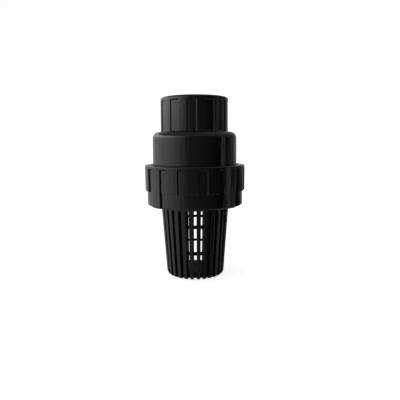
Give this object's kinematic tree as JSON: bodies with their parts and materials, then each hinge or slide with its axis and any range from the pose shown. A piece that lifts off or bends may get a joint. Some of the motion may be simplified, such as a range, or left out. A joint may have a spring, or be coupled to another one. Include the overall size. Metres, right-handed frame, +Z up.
{
  "type": "foot valve",
  "caption": "Plastic swing foot valve with a solvent pipe socket, a hinged flap on a clamped seat, a threaded union nut and a tapered slotted strainer basket.",
  "frame": {"origin": "centre of the strainer basket's base, on the valve's axis", "axes": "+Z up along the flow, towards the pipe socket; +Y towards the flap's hinge; the blank pad on the basket faces -Y"},
  "size_m": [0.1334, 0.1334, 0.2345],
  "materials": {
    "body_plastic": "black uPVC, semi-gloss moulded",
    "nut_plastic": "black uPVC, semi-gloss moulded",
    "strainer_plastic": "black polypropylene, satin",
    "seat_plastic": "dark grey uPVC, satin",
    "seal_rubber": "black EPDM, matt",
    "stainless_steel": "turned stainless steel",
    "spring_steel": "stamped stainless spring steel",
    "bush_plastic": "natural acetal"
  },
  "bodies": {
    "basket": {"strainer_basket": "strainer_plastic", "flange_gasket": "seal_rubber"},
    "valve": {"valve_body": "body_plastic", "seat_carrier": "seat_plastic", "body_o_ring": "seal_rubber", "hinge_bracket": "seat_plastic", "bracket_screws": "stainless_steel", "hinge_pin": "stainless_steel", "pin_clip_left": "spring_steel", "pin_clip_right": "spring_steel"},
    "flap": {"flap_arm": "stainless_steel", "hinge_bush_left": "bush_plastic", "hinge_bush_right": "bush_plastic", "flap_disc": "seat_plastic", "disc_seal": "seal_rubber", "seal_plate": "stainless_steel", "centre_bolt": "stainless_steel", "bolt_washer": "stainless_steel", "lock_nut": "stainless_steel"},
    "nut": {"union_nut": "nut_plastic"}
  },
  "joints": [
    {"name": "body_lift", "type": "slide", "parent": "basket", "child": "valve", "axis": [0, 0, 1], "range_m": [0, 0.0301]},
    {"name": "flap_hinge", "type": "hinge", "parent": "valve", "child": "flap", "pos_m": [0, 0.0395, 0.118], "axis": [-1, 0, 0], "range_deg": [0, 70]},
    {"name": "nut_turn", "type": "hinge", "parent": "basket", "child": "nut", "pos_m": [0, 0, 0.12], "axis": [0, 0, -1], "range_deg": [0, 1800]}
  ],
  "couplings": [
    {"joint": "body_lift", "follows": "nut_turn", "m_per_rad": 0.00095493}
  ]
}
